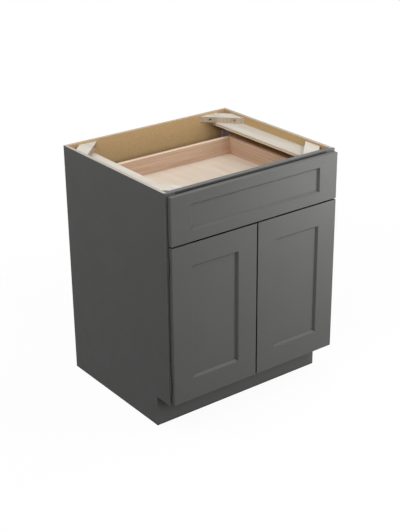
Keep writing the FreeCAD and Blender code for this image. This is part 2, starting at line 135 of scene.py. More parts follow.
class Graph:
    """A shader node tree with short ways to add and join its nodes."""

    def __init__(self, tree: bpy.types.NodeTree) -> None:
        """Start from an empty tree."""
        self.tree = tree
        tree.nodes.clear()

    def feed(self, target: Socket, value: Feed) -> None:
        """Join a socket to another, or set it to a plain value.

        Args:
            target: The socket to feed.
            value: The socket to join it to, or its value.
        """
        if isinstance(value, bpy.types.NodeSocket):
            self.tree.links.new(value, target)
        else:
            target.default_value = value

    def node(self, kind: str, inputs: dict[Union[str, int], Feed], **settings: object) -> bpy.types.Node:
        """Add a node.

        Args:
            kind: The node's type name.
            inputs: Values or sockets by input name or index.
            **settings: Attributes of the node, set before its inputs.

        Returns:
            The new node.
        """
        made = self.tree.nodes.new(kind)
        for name, value in settings.items():
            setattr(made, name, value)
        for key, value in inputs.items():
            self.feed(made.inputs[key], value)
        return made

    def maths(self, operation: str, first: Feed, second: Feed = 0.0, clamp: bool = False) -> Socket:
        """Add a Math node and give its result."""
        inputs = {0: first, 1: second}
        return self.node("ShaderNodeMath", inputs, operation=operation, use_clamp=clamp).outputs[0]

    def vector(self, operation: str, first: Feed, second: Feed) -> Socket:
        """Add a Vector Math node and give its result."""
        return self.node("ShaderNodeVectorMath", {0: first, 1: second}, operation=operation).outputs[0]

    def blend(self, factor: Feed, first: Feed, second: Feed, way: str = "MIX") -> Socket:
        """Mix two colours by a factor.

        Args:
            factor: How far the second colour counts.
            first: The first colour.
            second: The second colour.
            way: The mix's kind.

        Returns:
            The mixed colour.
        """
        inputs = {0: factor, 6: first, 7: second}
        settings = {"data_type": "RGBA", "blend_type": way, "clamp_factor": True}
        return self.node("ShaderNodeMix", inputs, **settings).outputs[2]

    def tint(self, factor: Feed, colour: Feed, stain: Feed) -> Socket:
        """Multiply a colour by a stain, as far as a factor says."""
        return self.blend(factor, colour, stain, "MULTIPLY")

    def between(self, factor: Feed, first: Feed, second: Feed) -> Socket:
        """Mix two values by a factor."""
        return self.node("ShaderNodeMix", {0: factor, 2: first, 3: second}, data_type="FLOAT").outputs[0]

    def span(self, value: Feed, low: Feed, high: Feed, start: float = 0.0, end: float = 1.0) -> Socket:
        """Stretch a value from one range to another, smoothly and within its ends."""
        inputs = {"Value": value, "From Min": low, "From Max": high, "To Min": start, "To Max": end}
        return self.node("ShaderNodeMapRange", inputs, interpolation_type="SMOOTHSTEP").outputs[0]

    def noise(self, place: Feed, scale: Feed, detail: float = 2.0, roughness: float = 0.5) -> Socket:
        """Add a Noise Texture node and give its value."""
        inputs = {"Vector": place, "Scale": scale, "Detail": detail, "Roughness": roughness}
        return self.node("ShaderNodeTexNoise", inputs).outputs[0]

    def parts(self, vector: Socket) -> list[Socket]:
        """Split a vector into its three coordinates."""
        return list(self.node("ShaderNodeSeparateXYZ", {0: vector}).outputs)

    def joined(self, first: Feed, second: Feed, third: Feed) -> Socket:
        """Join three coordinates into a vector."""
        return self.node("ShaderNodeCombineXYZ", {0: first, 1: second, 2: third}).outputs[0]

    def coordinates(self) -> bpy.types.NodeOutputs:
        """Give the texture coordinates of the piece."""
        return self.node("ShaderNodeTexCoord", {}).outputs


class SharedEffects:
    """The node groups that several finishes use, each built once."""

    drift_scale: float = 0.3
    ring_scale: float = 0.26
    ring_share: float = 0.36
    fibre_stretch: tuple[float, float, float] = (0.016, 1.0, 1.0)
    ply_waver: float = 0.6 * MM
    mottle_share: float = 0.4
    draw_stretch: tuple[float, float, float] = (0.03, 1.0, 1.0)

    def __init__(self) -> None:
        """Build every group."""
        self.groups: dict[str, bpy.types.NodeTree] = {}
        effects = (self.wood_figure, self.board_faces, self.ply_layers, self.paint_film, self.drawn_metal,
                   self.edge_rub_and_highlight, self.painted_crevice_shade)
        for build in effects:
            build()

    def opened(self, name: str, vectors: Sequence[str],
               values: Sequence[str] = ()) -> tuple[Graph, dict[str, Socket]]:
        """Start a node group and keep it.

        Args:
            name: The group's name.
            vectors: Names of the inputs that are vectors.
            values: Names of the inputs that are plain values.

        Returns:
            The group's graph and its input sockets by name.
        """
        tree = bpy.data.node_groups.new(name, "ShaderNodeTree")
        self.groups[name] = tree
        for kind, sockets in (("NodeSocketVector", vectors), ("NodeSocketFloat", values)):
            for socket in sockets:
                tree.interface.new_socket(name=socket, in_out="INPUT", socket_type=kind)
        graph = Graph(tree)
        given = graph.node("NodeGroupInput", {})
        return graph, {socket: given.outputs[socket] for socket in (*vectors, *values)}

    @staticmethod
    def close(graph: Graph, outputs: dict[str, Socket]) -> None:
        """End a node group.

        Args:
            graph: The group's graph.
            outputs: What the group puts out, by name.
        """
        for socket in outputs:
            graph.tree.interface.new_socket(name=socket, in_out="OUTPUT", socket_type="NodeSocketFloat")
        graph.node("NodeGroupOutput", outputs)

    def wood_figure(self) -> None:
        """Build the figure and fibres of a board whose grain runs along the first coordinate."""
        sizes = ["Figure Scale", "Fibre Scale", "Wander", "Stretch"]
        graph, given = self.opened("wood_figure", ["Vector"], sizes)
        place, scale = given["Vector"], given["Figure Scale"]
        long = graph.vector("MULTIPLY", place, graph.joined(given["Stretch"], 1.0, 1.0))
        slow = {"Vector": long, "Scale": graph.maths("MULTIPLY", scale, self.drift_scale), "Detail": 2.0}
        slow_colour = graph.node("ShaderNodeTexNoise", slow).outputs["Color"]
        drift = graph.vector("SUBTRACT", slow_colour, (0.5, 0.5, 0.5))
        reach = graph.joined(given["Wander"], given["Wander"], given["Wander"])
        bent = graph.vector("ADD", long, graph.vector("MULTIPLY", drift, reach))
        broad = graph.noise(bent, scale, detail=4.0, roughness=0.6)
        ring_inputs = {"Vector": bent, "Scale": graph.maths("MULTIPLY", scale, self.ring_scale),
                       "Distortion": 2.4, "Detail": 2.0, "Detail Scale": 1.3}
        bands = {"wave_type": "BANDS", "bands_direction": "DIAGONAL"}
        rings = graph.node("ShaderNodeTexWave", ring_inputs, **bands).outputs[1]
        figure = graph.between(self.ring_share, graph.span(broad, low=0.3, high=0.7), rings)
        fine = graph.vector("MULTIPLY", place, self.fibre_stretch)
        fibre = graph.noise(fine, given["Fibre Scale"])
        self.close(graph, {"Figure": figure, "Fibre": graph.span(fibre, low=0.25, high=0.75)})

    def board_faces(self) -> None:
        """Build the masks of the faces that look along the width, the depth and the height."""
        graph, given = self.opened("board_faces", ["Normal"])
        masks = {}
        for axis, part in zip(Axis, graph.parts(given["Normal"])):
            masks[axis.name.title()] = graph.maths("GREATER_THAN", graph.maths("ABSOLUTE", part), SQUARELY)
        self.close(graph, masks)

    def ply_layers(self) -> None:
        """Build the alternate layers of a plywood edge, one at every other ply."""
        graph, given = self.opened("ply_layers", ["Vector"], ["Depth", "Ply"])
        waver = graph.noise(given["Vector"], scale=60.0)
        shift = graph.maths("MULTIPLY", graph.maths("SUBTRACT", waver, 0.5), self.ply_waver)
        turns = graph.maths("DIVIDE", graph.maths("ADD", given["Depth"], shift), given["Ply"])
        swing = graph.maths("SINE", graph.maths("MULTIPLY", turns, math.pi))
        self.close(graph, {"Layer": graph.span(swing, low=-0.25, high=0.25, start=1.0, end=0.0)})

    def paint_film(self) -> None:
        """Build the slow tone, sheen and orange peel of a sprayed coat."""
        graph, given = self.opened("paint_film", ["Vector"], ["Peel Scale"])
        place = given["Vector"]
        cloud = graph.span(graph.noise(place, scale=7.0, detail=3.0), low=0.3, high=0.7)
        mottle = graph.span(graph.noise(place, scale=160.0), low=0.3, high=0.7)
        sheen = graph.span(graph.noise(place, scale=24.0, detail=3.0), low=0.3, high=0.7)
        peel = graph.noise(place, given["Peel Scale"])
        tone = graph.between(self.mottle_share, cloud, mottle)
        self.close(graph, {"Tone": tone, "Sheen": sheen, "Height": peel})

    def drawn_metal(self) -> None:
        """Build the scuffs and fine draw lines of rolled metal along the first coordinate."""
        graph, given = self.opened("drawn_metal", ["Vector"], ["Line Scale"])
        stretched = graph.vector("MULTIPLY", given["Vector"], self.draw_stretch)
        line = graph.noise(stretched, given["Line Scale"])
        scuff = graph.noise(given["Vector"], scale=45.0, detail=4.0, roughness=0.65)
        self.close(graph, {"Scuff": graph.span(scuff, low=0.35, high=0.7), "Line": line})

    def edge_rub_and_highlight(self) -> None:
        """Build the mask of the eased edges, for rub-through and a painted highlight, broken up so that it is
        uneven.
        """
        graph, given = self.opened("edge_rub_and_highlight", ["Vector"], ["Amount"])
        # Rub-through and painted highlight: the eased edges lighten.
        edge = graph.node("ShaderNodeAttribute", {}, attribute_name=EASED).outputs["Fac"]
        patch = graph.noise(given["Vector"], scale=30.0, detail=3.0)
        uneven = graph.maths("MULTIPLY", edge, graph.span(patch, low=0.25, high=0.75, start=0.4, end=1.0))
        self.close(graph, {"Mask": graph.maths("MULTIPLY", uneven, given["Amount"], clamp=True)})

    def painted_crevice_shade(self) -> None:
        """Build the mask of narrow gaps and inner corners, where painted shade darkens the colour."""
        graph, given = self.opened("painted_crevice_shade", [], ["Reach", "Amount", "Shut", "Open"])
        # Painted shade: ambient occlusion darkens the colour in gaps and inner corners.
        near = graph.node("ShaderNodeAmbientOcclusion", {"Distance": given["Reach"]}, samples=8)
        closed = graph.span(near.outputs["AO"], given["Shut"], given["Open"], start=1.0, end=0.0)
        self.close(graph, {"Mask": graph.maths("MULTIPLY", closed, given["Amount"])})


@dataclass(frozen=True)
class Layers:
    """Colour, roughness and bump height of a finish, as sockets that vary over the surface."""

    colour: Socket
    roughness: Socket
    height: Socket


class Ground(Graph):
    """The shader tree of one material, with the piece's coordinates and the shared effects at hand."""

    def __init__(self, tree: bpy.types.NodeTree, effects: SharedEffects) -> None:
        """Start from an empty tree.

        Args:
            tree: The material's node tree.
            effects: The shared effects.
        """
        super().__init__(tree)
        self.effects = effects
        coordinates = self.coordinates()
        self.place = coordinates["Object"]
        self.normal = coordinates["Normal"]

    def use(self, name: str, inputs: dict[str, Feed]) -> dict[str, Socket]:
        """Place a shared effect.

        Args:
            name: The effect's name.
            inputs: Values or sockets by input name.

        Returns:
            The effect's output sockets by name.
        """
        placed = self.node("ShaderNodeGroup", inputs, node_tree=self.effects.groups[name])
        return {socket.name: socket for socket in placed.outputs}

    def along(self, grain: Axis) -> Socket:
        """Turn the piece's coordinates so that the first runs along the grain.

        Args:
            grain: The way that the grain runs.

        Returns:
            The turned coordinates.
        """
        parts = self.parts(self.place)
        first = parts.pop(grain.value)
        return self.joined(first, *parts)

    def facing(self, axis: Axis) -> Socket:
        """Give the mask of the faces that look along an axis."""
        return self.use("board_faces", {"Normal": self.normal})[axis.name.title()]

    def rub_and_highlight_mask(self, amount: float) -> Socket:
        """Give the mask of the eased edges, for rub-through and a painted highlight."""
        return self.use("edge_rub_and_highlight", {"Vector": self.place, "Amount": amount})["Mask"]

    def tones(self, share: Feed, first: Colour, second: Colour) -> Socket:
        """Mix two display colours."""
        return self.blend(share, linear(first), linear(second))

    def uneven(self, share: Socket, roughness: float, spread: tuple[float, float]) -> Socket:
        """Let a roughness vary below and above its usual value."""
        below, above = spread
        return self.span(share, 0.0, 1.0, roughness - below, roughness + above)


class Finish:
    """A finish that a piece can take, with the record's slot that it stands for."""

    name: str
    slot: str
    relief: float

    def layers(self, ground: Ground) -> Layers:
        """Lay the finish.

        Args:
            ground: The material's shader tree.

        Returns:
            What varies over the surface.
        """
        raise NotImplementedError

    def fixed(self) -> dict[str, float]:
        """Give the shader inputs that are the same all over the surface."""
        return LACQUER_GLOSS

    def dress(self, ground: Ground) -> None:
        """Lay the finish and end the material with its shader.

        Args:
            ground: The material's shader tree.
        """
        layers = self.layers(ground)
        bump = {"Strength": 1.0, "Distance": self.relief, "Height": layers.height}
        raised = ground.node("ShaderNodeBump", bump).outputs[0]
        varying = {"Base Color": layers.colour, "Roughness": layers.roughness, "Normal": raised}
        shader = ground.node("ShaderNodeBsdfPrincipled", {**varying, **self.fixed()})
        ground.node("ShaderNodeOutputMaterial", {"Surface": shader.outputs[0]})


@dataclass(frozen=True)
class Recess:
    """Where painted shade darkens gaps and inner corners: how near, from how shut to how open, and how much."""

    reach: float
    shut: float
    clear: float
    amount: float = 1.0

    def mask(self, ground: Ground) -> Socket:
        """Give the mask of the painted shade in the gaps and corners."""
        inputs = {"Reach": self.reach, "Amount": self.amount, "Shut": self.shut, "Open": self.clear}
        return ground.use("painted_crevice_shade", inputs)["Mask"]


@dataclass(frozen=True)
class Figure:
    """Size and course of a wood's figure and fibres."""

    scale: float = 42.0
    fibre_scale: float = 900.0
    wander: float = 0.02
    stretch: float = 0.09

    def draw(self, ground: Ground, grain: Axis) -> dict[str, Socket]:
        """Give the figure and the fibres along the grain."""
        inputs = {"Vector": ground.along(grain), "Figure Scale": self.scale, "Fibre Scale": self.fibre_scale,
                  "Wander": self.wander, "Stretch": self.stretch}
        return ground.use("wood_figure", inputs)


SAWN_FIGURE = Figure(scale=120.0, fibre_scale=500.0, wander=0.004)


@dataclass(frozen=True)
class PaintFinish(Finish):
    """A sprayed satin paint."""

    name: str
    slot: str
    low: Colour
    high: Colour
    # The lighter colour of the eased edges, partly rub-through and partly a painted highlight.
    rub_and_highlight_colour: Colour
    roughness: float = 0.42
    spread: tuple[float, float] = (0.03, 0.03)
    peel_scale: float = 700.0
    relief: float = 0.03 * MM
    rub_and_highlight: float = 0.3
    # Painted shade: the colour that gaps and inner corners darken to, and where they do.
    painted_crevice_shade: Colour = (8, 8, 8)
    gaps: Recess = Recess(0.014, 0.4, 0.8)

    def layers(self, ground: Ground) -> Layers:
        """Lay the paint, with rub-through and a painted highlight on its eased edges, and painted shade in its
        gaps.

        Args:
            ground: The material's shader tree.

        Returns:
            What varies over the surface.
        """
        film = ground.use("paint_film", {"Vector": ground.place, "Peel Scale": self.peel_scale})
        coat = ground.tones(film["Tone"], self.low, self.high)
        # Rub-through and painted highlight: the eased edges lighten.
        colour = ground.blend(ground.rub_and_highlight_mask(self.rub_and_highlight), coat, linear(self.rub_and_highlight_colour))
        # Painted shade darkens the paint in gaps and inner corners.
        colour = ground.blend(self.gaps.mask(ground), colour, linear(self.painted_crevice_shade))
        return Layers(colour, ground.uneven(film["Sheen"], self.roughness, self.spread), film["Height"])

    def fixed(self) -> dict[str, float]:
        """Give the paint's gloss."""
        return PAINT_GLOSS


@dataclass(frozen=True)
class WoodFinish(Finish):
    """Lacquered solid wood, darker on its end grain, with painted warm shade in deep corners."""

    name: str
    slot: str
    light: Colour
    dark: Colour
    end: Colour
    grain: Axis = Axis.WIDTH
    figure: Figure = Figure()
    fibre_share: float = 0.22
    # Painted shade: deep corners are tinted darker and warmer, standing in for shade and for light bounced
    # between wood faces.
    deep_shade_tint: tuple[float, float, float, float] = (0.9, 0.6, 0.44, 1.0)
    deep: Recess = Recess(0.1, 0.05, 0.45)
    roughness: float = 0.5
    spread: tuple[float, float] = (0.06, 0.08)
    rub_and_highlight: float = 0.3
    relief: float = 0.08 * MM
    # Upward faces take a paler, cooler colour, partly a sanded top and partly a painted highlight.
    crown: Optional[Colour] = None
    crown_range: tuple[float, float] = (0.4, 0.8)
    # Vertical faces take a darker sawn colour, partly as painted shade.
    flank: Optional[tuple[Colour, Colour]] = None

    def layers(self, ground: Ground) -> Layers:
        """Lay the figure, then the end grain, the sawn flanks darkened partly as painted shade, the pale top
        lightened partly as a painted highlight, and the painted warm shade in deep corners.

        Args:
            ground: The material's shader tree.

        Returns:
            What varies over the surface.
        """
        figure = self.figure.draw(ground, self.grain)
        shade = ground.between(self.fibre_share, figure["Figure"], figure["Fibre"])
        board = ground.tones(shade, self.light, self.dark)
        end_grain = ground.tones(figure["Fibre"], self.end, self.dark)
        colour = ground.blend(ground.facing(self.grain), board, end_grain)
        # Rub-through and painted highlight: the eased edges go paler.
        colour = ground.blend(ground.rub_and_highlight_mask(self.rub_and_highlight), colour, linear(self.light))
        # Vertical faces darken to a sawn colour, partly as painted shade.
        if self.flank:
            sawn = ground.tones(SAWN_FIGURE.draw(ground, Axis.HEIGHT)["Figure"], *self.flank)
            colour = ground.blend(ground.facing(Axis.HEIGHT), sawn, colour)
        # Upward faces pale, partly as a painted highlight.
        if self.crown:
            upward = ground.span(ground.parts(ground.normal)[Axis.HEIGHT.value], *self.crown_range)
            colour = ground.blend(upward, colour, ground.tones(figure["Fibre"], self.crown, self.light))
        # Painted shade: tint the colour in deep corners.
        colour = ground.tint(self.deep.mask(ground), colour, self.deep_shade_tint)
        return Layers(colour, ground.uneven(shade, self.roughness, self.spread), figure["Fibre"])


@dataclass(frozen=True)
class PlyFinish(Finish):
    """Lacquered plywood, with its layers showing on the edges."""

    face: WoodFinish
    edge: tuple[Colour, Colour]
    thick_axis: Axis
    thick_start: float
    ply: float
    edge_roughness: float = 0.68

    @property
    def name(self) -> str:
        """The face veneer's name."""
        return self.face.name

    @property
    def slot(self) -> str:
        """The face veneer's slot."""
        return self.face.slot

    @property
    def relief(self) -> float:
        """The face veneer's depth of fibres."""
        return self.face.relief

    def layers(self, ground: Ground) -> Layers:
        """Lay the veneer on the flat faces and the layers on the edges.

        Args:
            ground: The material's shader tree.

        Returns:
            What varies over the surface.
        """
        veneer = self.face.layers(ground)
        depth = ground.maths("SUBTRACT", ground.parts(ground.place)[self.thick_axis.value], self.thick_start)
        stack = ground.use("ply_layers", {"Vector": ground.place, "Depth": depth, "Ply": self.ply})
        core, outer = self.edge
        flat = ground.facing(self.thick_axis)
        colour = ground.blend(flat, ground.tones(stack["Layer"], outer, core), veneer.colour)
        return Layers(colour, ground.between(flat, self.edge_roughness, veneer.roughness), veneer.height)


@dataclass(frozen=True)
class PaintedPlyFinish(Finish):
    """A cabinet side: painted outside, lacquered plywood inside and on its edges."""

    name: str
    paint: PaintFinish
    wood: PlyFinish
    outside: float
    skin: float = 1.5 * MM

    @property
    def slot(self) -> str:
        """The paint's slot."""
        return self.paint.slot

    @property
    def relief(self) -> float:
        """The paint's depth of peel."""
        return self.paint.relief

    def fixed(self) -> dict[str, float]:
        """Give the paint's gloss."""
        return self.paint.fixed()

    def layers(self, ground: Ground) -> Layers:
        """Lay the plywood, and the paint over its outer face.

        Args:
            ground: The material's shader tree.

        Returns:
            What varies over the surface.
        """
        coat = self.paint.layers(ground)
        board = self.wood.layers(ground)
        reach = ground.maths("ABSOLUTE", ground.parts(ground.place)[Axis.WIDTH.value])
        outer = ground.maths("GREATER_THAN", reach, self.outside - self.skin)
        painted = ground.maths("MULTIPLY", outer, ground.facing(Axis.WIDTH))
        return Layers(
            ground.blend(painted, board.colour, coat.colour),
            ground.between(painted, board.roughness, coat.roughness),
            ground.between(painted, board.height, coat.height),
        )


@dataclass(frozen=True)
class SteelFinish(Finish):
    """Rolled or plated steel."""

    name: str
    slot: str
    bright: Colour
    dull: Colour
    grain: Axis = Axis.DEPTH
    roughness: float = 0.34
    spread: tuple[float, float] = (0.06, 0.12)
    metallic: float = 1.0
    rub_and_highlight: float = 0.5
    line_scale: float = 1400.0
    relief: float = 0.02 * MM

    def layers(self, ground: Ground) -> Layers:
        """Lay the scuffs and draw lines, bright at the edges with rub-through and a painted highlight.

        Args:
            ground: The material's shader tree.

        Returns:
            What varies over the surface.
        """
        lines = {"Vector": ground.along(self.grain), "Line Scale": self.line_scale}
        metal = ground.use("drawn_metal", lines)
        colour = ground.tones(metal["Scuff"], self.bright, self.dull)
        # Rub-through and painted highlight: the eased edges go bright.
        colour = ground.blend(ground.rub_and_highlight_mask(self.rub_and_highlight), colour, linear(self.bright))
        return Layers(colour, ground.uneven(metal["Scuff"], self.roughness, self.spread), metal["Line"])

    def fixed(self) -> dict[str, float]:
        """Give the metal's share."""
        return {"Metallic": self.metallic}


@dataclass(frozen=True)
class RubberFinish(Finish):
    """Soft moulded rubber or plastic."""

    name: str
    slot: str
    low: Colour
    high: Colour
    roughness: float = 0.55
    spread: tuple[float, float] = (0.05, 0.08)
    pore_scale: float = 2500.0
    relief: float = 0.03 * MM

    def layers(self, ground: Ground) -> Layers:
        """Lay the moulded skin.

        Args:
            ground: The material's shader tree.

        Returns:
            What varies over the surface.
        """
        film = ground.use("paint_film", {"Vector": ground.place, "Peel Scale": self.pore_scale})
        colour = ground.tones(film["Tone"], self.low, self.high)
        return Layers(colour, ground.uneven(film["Sheen"], self.roughness, self.spread), film["Height"])


GREY_PAINT = PaintFinish("satin_grey_paint", "grey_paint", (94, 94, 93), (96, 96, 95), (104, 104, 103))
# Painted shade: the sides take the fronts' paint a little darker, for the shade that falls on them.
SHADED_SIDE_PAINT = replace(GREY_PAINT, name="satin_grey_side_paint", low=(91, 91, 90), high=(93, 93, 92))
# Painted shade: the frame's rails darken strongly in the reveal above the drawer front.
FRAME_PAINT = replace(GREY_PAINT, name="satin_grey_frame_paint", painted_crevice_shade=(16, 16, 16),
                      gaps=Recess(0.06, 0.35, 0.9))
# Painted shade: the frame's stiles darken only a little in the slots beside the doors.
STILE_PAINT = replace(GREY_PAINT, name="satin_grey_stile_paint", painted_crevice_shade=(50, 50, 50),
                      gaps=Recess(0.06, 0.1, 0.6, amount=0.3))
# Painted shade: the fronts' left stiles darken along their edges beside the frame.
EDGE_PAINT = replace(GREY_PAINT, name="satin_grey_edge_paint", painted_crevice_shade=(48, 48, 48),
                     gaps=Recess(0.03, 0.45, 1.0))
# The deep-corner tints of the woods below are painted warm shade.
GOLDEN_FACE = WoodFinish("golden_veneer", "golden_ply", (191, 162, 117), (176, 146, 103), (152, 122, 86),
                         Axis.HEIGHT, Figure(scale=170.0, wander=0.01, stretch=0.75),
                         deep_shade_tint=(1.15, 0.68, 0.48, 1.0))
BACK_FACE = replace(GOLDEN_FACE, name="back_golden_ply", deep_shade_tint=(1.5, 0.95, 0.7, 1.0))
DECK_FACE = replace(GOLDEN_FACE, name="deck_golden_ply", grain=Axis.WIDTH)
CREAM_WOOD = WoodFinish("cream_maple", "cream_wood", (198, 193, 184), (179, 170, 156), (162, 148, 129),
                        Axis.DEPTH)
BRACE_FACE = replace(CREAM_WOOD, name="cream_brace_ply")
# The blocks' darker sawn flanks are partly painted shade.
BLOCK_WOOD = replace(CREAM_WOOD, name="cream_block_wood", flank=((176, 160, 140), (142, 124, 102)),
                     deep_shade_tint=(1.0, 0.92, 0.84, 1.0))
POST_WOOD = replace(CREAM_WOOD, name="cream_post_wood", grain=Axis.HEIGHT)
# The box wood's pale top colour is partly a painted highlight.
BOX_WOOD = WoodFinish("rosy_box_wood", "box_wood", (202, 175, 152), (169, 137, 111), (164, 134, 105),
                      Axis.WIDTH, Figure(fibre_scale=260.0), fibre_share=0.6, crown=(202, 190, 176))
BOX_BOTTOM_FACE = WoodFinish("pale_bottom_veneer", "box_bottom_ply", (204, 191, 176), (194, 177, 160),
                             (174, 152, 127), Axis.DEPTH, Figure(scale=44.0))

# Core and outer layers of each kind of plywood, as its edge shows them
SIDE_EDGE = ((165, 157, 148), (179, 171, 161))
BACK_EDGE = ((160, 150, 138), (174, 164, 152))
DECK_EDGE = ((176, 146, 106), (206, 180, 142))
BRACE_EDGE = ((182, 163, 138), (208, 199, 184))
BOX_BOTTOM_EDGE = ((176, 146, 116), (214, 192, 168))

ZINC = SteelFinish("zinc_slide_steel", "slide_steel", (206, 208, 210), (168, 171, 176))
BRACKET_STEEL = SteelFinish("dull_bracket_steel", "bracket_steel", (206, 196, 200), (180, 170, 176),
                            roughness=0.5, metallic=0.1)
HINGE_LACQUER = PaintFinish("grey_hinge_lacquer", "hinge_steel", (88, 88, 86), (94, 94, 92), (112, 112, 110),
                            roughness=0.36, peel_scale=1500.0, gaps=replace(GREY_PAINT.gaps, amount=0.0))
SCREW_STEEL = SteelFinish("screw_steel", "screw_steel", (176, 172, 162), (122, 116, 104), roughness=0.38)
BUMPER_RUBBER = RubberFinish("bumper_rubber", "bumper", (168, 166, 160), (186, 184, 178))


class MaterialShelf:
    """Makes each finish's material once and hands it out."""

    def __init__(self) -> None:
        """Build the shared effects."""
        self.effects = SharedEffects()
        self.made: dict[str, bpy.types.Material] = {}

    def take(self, finish: Finish) -> bpy.types.Material:
        """Give the material of a finish, building it the first time.

        Args:
            finish: The finish to take.

        Returns:
            Its material.
        """
        if finish.name not in self.made:
            material = bpy.data.materials.new(finish.name)
            material.use_nodes = True
            finish.dress(Ground(material.node_tree, self.effects))
            self.made[finish.name] = material
        return self.made[finish.name]


@dataclass(frozen=True)
class Easing:
    """One round of eased edges: which edges, how wide and in how many steps."""

    chosen: Rule
    width: float
    steps: int = 2


@dataclass(frozen=True)
class Box:
    """The room that some CAD nodes take."""

    low: Vector
    high: Vector

    @classmethod
    def holding(cls, points: Iterable[Vector]) -> Box:
        """Give the box that just holds some points.

        Args:
            points: The points.

        Returns:
            Their box.
        """
        columns = list(zip(*points))
        return cls(Vector([min(column) for column in columns]), Vector([max(column) for column in columns]))

    @classmethod
    def around(cls, nodes: Iterable[str]) -> Box:
        """Give the box around some CAD nodes."""
        return cls.holding(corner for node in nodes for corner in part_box(node))

    @property
    def middle(self) -> Vector:
        """The centre of the box."""
        return (self.low + self.high) / 2

    def planes(self, point: Vector) -> set[tuple[int, int]]:
        """Name the sides of the box that a point lies on.

        Args:
            point: The point.

        Returns:
            The index of each side's axis, with zero for its low end and one for its high end.
        """
        sides = [(axis, end) for axis in range(3) for end in range(2)]
        ends = (self.low, self.high)
        return {(axis, end) for axis, end in sides if abs(point[axis] - ends[end][axis]) < 2 * WELD}

    def outline(self, edge: bmesh.types.BMEdge) -> bool:
        """Say whether an edge runs along an edge of the box."""
        first, second = (self.planes(vertex.co) for vertex in edge.verts)
        return len(first & second) >= 2


def runs_along(edge: bmesh.types.BMEdge, axis: Axis) -> bool:
    """Say whether an edge runs along a direction of the cabinet."""
    run = (edge.verts[1].co - edge.verts[0].co).normalized()
    return abs(run[axis.value]) > STRAIGHT


def longer_than(length: float) -> Rule:
    """Give a rule that takes edges longer than a length."""
    return lambda edge: edge.calc_length() > length


def frame_easings(room: Box, along: Axis, outer: float, inner: float) -> list[Easing]:
    """Give the easings of a stile or rail.

    Args:
        room: The box around the whole frame.
        along: The way that the board runs.
        outer: Width of the easing on the frame's outer edges.
        inner: Width of the easing on the board's other long edges.

    Returns:
        The rounds of easing, in order.
    """
    return [Easing(room.outline, outer), Easing(lambda edge: runs_along(edge, along), inner, 1)]


@dataclass
class Workshop:
    """The frame's nodes and the shelf of materials, and how pieces are made from them."""

    nodes: dict[str, bpy.types.Object]
    shelf: MaterialShelf
    sharp_angle: float = math.radians(24)
    smooth_angle: float = math.radians(36)
    flat_angle: float = math.radians(0.4)

    def welded(self, node: str) -> bmesh.types.BMesh:
        """Copy a CAD node's mesh, with its faces joined into closed solids.

        Args:
            node: The CAD node's name.

        Returns:
            The copy.
        """
        bm = bmesh.new()
        bm.from_mesh(self.nodes[node].data)
        bmesh.ops.remove_doubles(bm, verts=bm.verts, dist=WELD)
        return bm

    def solids(self, node: str) -> list[Box]:
        """Find the box of each separate solid of a CAD node.

        Args:
            node: The CAD node's name.

        Returns:
            The solids' boxes, sorted by place.
        """
        bm = self.welded(node)
        left = set(bm.verts)
        boxes = []
        while left:
            group = set()
            front = [left.pop()]
            while front:
                vertex = front.pop()
                group.add(vertex)
                beside = {edge.other_vert(vertex) for edge in vertex.link_edges} & left
                left -= beside
                front += beside
            boxes.append(Box.holding(vertex.co for vertex in group))
        bm.free()
        return sorted(boxes, key=lambda box: tuple(round(part, 5) for part in box.middle))

    def place(self, name: str, bm: bmesh.types.BMesh, node: str, finish: Finish,
              stands_for: bool = False) -> None:
        """Turn a bmesh into a finished piece on a CAD node's body.

        Args:
            name: The piece's name.
            bm: The piece's mesh in the cabinet's frame; it is freed here.
            node: The CAD node.
            finish: The piece's finish.
            stands_for: Whether the piece replaces the node.
        """
        bmesh.ops.recalc_face_normals(bm, faces=bm.faces)
        mesh = bpy.data.meshes.new(name)
        bm.to_mesh(mesh)
        bm.free()
        spare = mesh.attributes.get("custom_normal")
        if spare is not None:
            mesh.attributes.remove(spare)
        mesh.shade_smooth()
        mesh.set_sharp_from_angle(angle=self.smooth_angle)
        mesh.materials.append(self.shelf.take(finish))
        for polygon in mesh.polygons:
            polygon.material_index = 0
        piece = bpy.data.objects.new(name, mesh)
        bpy.context.scene.collection.objects.link(piece)
        weighted = piece.modifiers.new("flat_faces_stay_flat", "WEIGHTED_NORMAL")
        weighted.keep_sharp = True
        body = self.nodes[node]["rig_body"]
        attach(piece, body)
        finish.slot
        if stands_for:
            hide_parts(node)
        LOG.info("%s on %s in %s", name, body, finish.name)

    def fasten(self, name: str, node: str, head: ScrewHead, spots: Iterable[Spot]) -> None:
        """Drive screws of one kind, as one piece.

        Args:
            name: The piece's name.
            node: A CAD node of the body that the screws ride on.
            head: The kind of screw head.
            spots: Where the heads sit.
        """
        bm = bmesh.new()
        for spot in spots:
            head.add(bm, spot)
        self.place(name, bm, node, SCREW_STEEL)

    def dress(self, node: str, treatment: Treatment, finish: Finish, easings: Sequence[Easing]) -> None:
        """Replace a CAD node with a finished copy that has eased edges.

        Args:
            node: The CAD node's name.
            treatment: How the piece's surface was worked.
            finish: The piece's finish.
            easings: Rounds of easing, in order.
        """
        bm = self.welded(node)
        bmesh.ops.dissolve_limit(bm, angle_limit=self.flat_angle, verts=bm.verts, edges=bm.edges)
        mark = bm.faces.layers.float.new(EASED)
        corners = [edge for edge in bm.edges
                   if edge.is_manifold and edge.calc_face_angle(0.0) > self.sharp_angle]
        for easing in easings:
            edges = [edge for edge in corners if edge.is_valid and easing.chosen(edge)]
            corners = [edge for edge in corners if edge not in set(edges)]
            made = bmesh.ops.bevel(bm, geom=edges, offset=easing.width, offset_type="OFFSET",
                                   segments=easing.steps, profile=0.5, affect="EDGES", clamp_overlap=True)
            for face in made["faces"]:
                face[mark] = 1.0
        self.place(f"{node}_{treatment.value}", bm, node, finish, stands_for=True)


